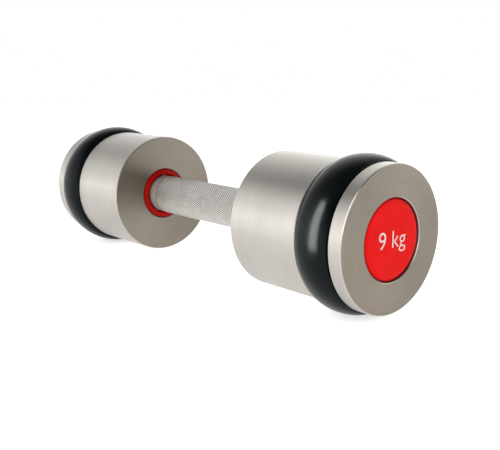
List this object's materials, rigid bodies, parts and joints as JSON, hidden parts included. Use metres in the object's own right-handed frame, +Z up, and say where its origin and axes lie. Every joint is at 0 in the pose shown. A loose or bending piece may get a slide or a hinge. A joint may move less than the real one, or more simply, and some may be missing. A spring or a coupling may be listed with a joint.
{
  "type": "dumbbell",
  "caption": "Round steel hand weight with a knurled grip that revolves between two cylindrical heads, each with a black rubber bumper ring and a red end badge.",
  "frame": {"origin": "middle of the grip, on the axis of the bar", "axes": "+X along the bar towards the right-hand head, +Y to the back, +Z up"},
  "size_m": [0.3224, 0.0978, 0.0978],
  "materials": {
    "turned_steel": "turned and satin polished",
    "knurled_steel": "fine diamond knurl",
    "ground_steel": "ground",
    "black_oxide_steel": "black oxide",
    "zinc_plated_steel": "bright zinc plating",
    "sintered_bronze": "sintered, oil filled",
    "black_rubber": "moulded, semi-gloss",
    "red_badge_plastic": "moulded, satin",
    "red_collar_plastic": "moulded, satin",
    "foam_tape": "closed-cell foam"
  },
  "bodies": {
    "root": {"core_shaft": "ground_steel", "weight_right": "turned_steel", "weight_left": "turned_steel", "end_cap_right": "turned_steel", "end_cap_left": "turned_steel", "bumper_ring_right": "black_rubber", "bumper_ring_left": "black_rubber", "badge_right": "red_badge_plastic", "badge_left": "red_badge_plastic", "badge_tape_right": "foam_tape", "badge_tape_left": "foam_tape", "grip_collar_right": "red_collar_plastic", "grip_collar_left": "red_collar_plastic", "thrust_washer_right": "ground_steel", "thrust_washer_left": "ground_steel", "end_screw_right": "black_oxide_steel", "end_screw_left": "black_oxide_steel", "flat_washer_right": "zinc_plated_steel", "flat_washer_left": "zinc_plated_steel", "lock_washer_right": "zinc_plated_steel", "lock_washer_left": "zinc_plated_steel", "shaft_key_right": "ground_steel", "shaft_key_left": "ground_steel", "dowel_front_right": "ground_steel", "dowel_front_left": "ground_steel", "dowel_back_right": "ground_steel", "dowel_back_left": "ground_steel"},
    "grip": {"grip_sleeve": "knurled_steel", "grip_bush_right": "sintered_bronze", "grip_bush_left": "sintered_bronze"}
  },
  "joints": [
    {"name": "grip_spin", "type": "hinge", "parent": "root", "child": "grip", "pos_m": [0, 0, 0], "axis": [1, 0, 0], "continuous": true}
  ]
}
